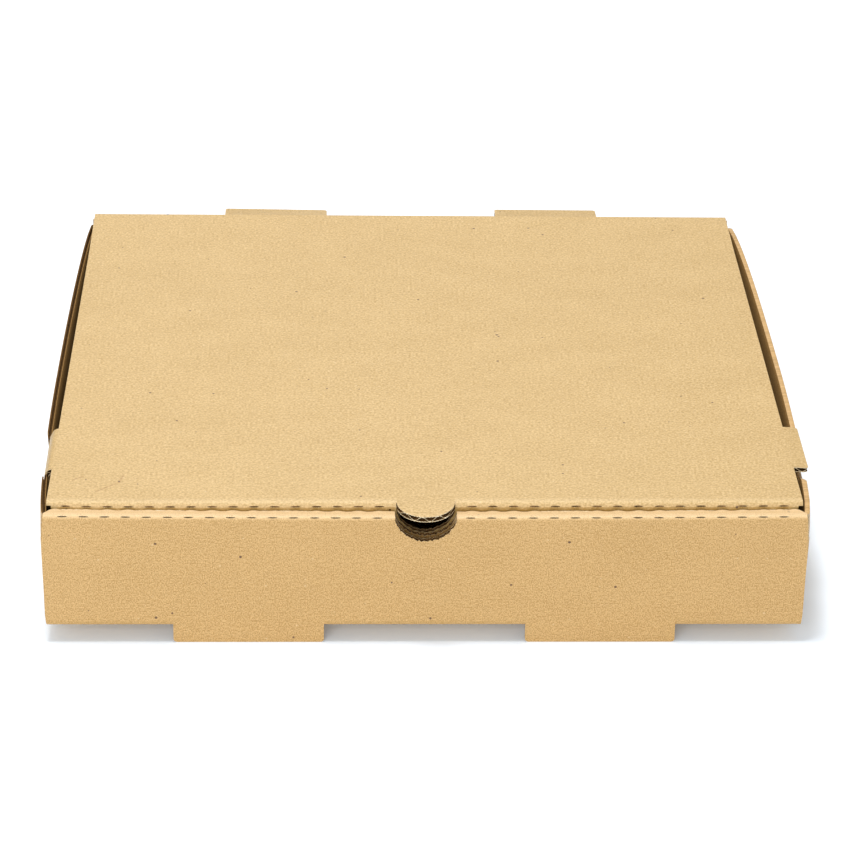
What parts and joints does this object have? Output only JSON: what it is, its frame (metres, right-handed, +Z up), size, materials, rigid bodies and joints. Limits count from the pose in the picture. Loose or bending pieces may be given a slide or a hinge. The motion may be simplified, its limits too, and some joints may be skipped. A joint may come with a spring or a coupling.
{
  "type": "pizza box",
  "caption": "Plain kraft corrugated pizza box folded from one sheet, with a hinged lid, thumb tab, rolled-over front wall and feet.",
  "frame": {"origin": "under the middle of the closed box's bounding box, on the surface that it stands on", "axes": "+Z up, -Y towards the rolled-over front with the thumb tab, +Y towards the lid's hinge fold; the box leans back by its feet's height, about 1.4 degrees"},
  "size_m": [0.3204, 0.3298, 0.0605],
  "materials": {
    "tray_board": "uncoated brown kraft liner on B-flute, matte, with fine fibres and specks",
    "lid_board": "uncoated brown kraft liner on B-flute, matte, with fine fibres and specks"
  },
  "bodies": {
    "tray": {"tray": "tray_board"},
    "lid": {"lid": "lid_board"}
  },
  "joints": [
    {"name": "lid_hinge", "type": "hinge", "parent": "tray", "child": "lid", "pos_m": [0, 0.15593, 0.05284], "axis": [-1, 0, 0], "range_deg": [0, 175]}
  ]
}
